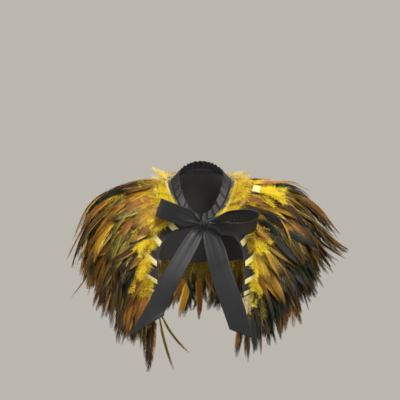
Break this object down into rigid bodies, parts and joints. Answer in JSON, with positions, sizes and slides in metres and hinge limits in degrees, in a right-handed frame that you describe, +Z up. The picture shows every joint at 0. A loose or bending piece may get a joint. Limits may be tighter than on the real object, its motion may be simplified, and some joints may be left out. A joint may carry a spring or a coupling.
{
  "type": "feather cape",
  "caption": "Shoulder cape of overlapping feather rows on a cloth base, open down the front, with a gathered neck ribbon tied in a bow.",
  "frame": {"origin": "middle of the neck opening, level with the neck seam at the two sides of the neck", "axes": "+Z up, the front faces -Y and the wearer's left is +X"},
  "size_m": [0.5792, 0.3403, 0.4205],
  "materials": {
    "base_cloth": "plain matt black cloth",
    "feathers": "dyed feathers, yellow down at the root, gold to rust and black-brown towards the tip",
    "tape": "pale yellow stitched trim tape",
    "ribbon": "black satin ribbon"
  },
  "bodies": {
    "root": {"base_front_left": "base_cloth", "base_back": "base_cloth", "base_front_right": "base_cloth", "row_1_neck": "feathers", "row_2_collarbone": "feathers", "row_3_shoulder": "feathers", "row_4_upper_arm": "feathers", "row_5_chest": "feathers", "row_6_hem": "feathers", "neck_ribbon": "ribbon", "bow_knot": "ribbon", "bow_loop_right": "ribbon", "bow_loop_left": "ribbon", "bow_tail_right": "ribbon", "bow_tail_left": "ribbon"}
  },
  "joints": []
}
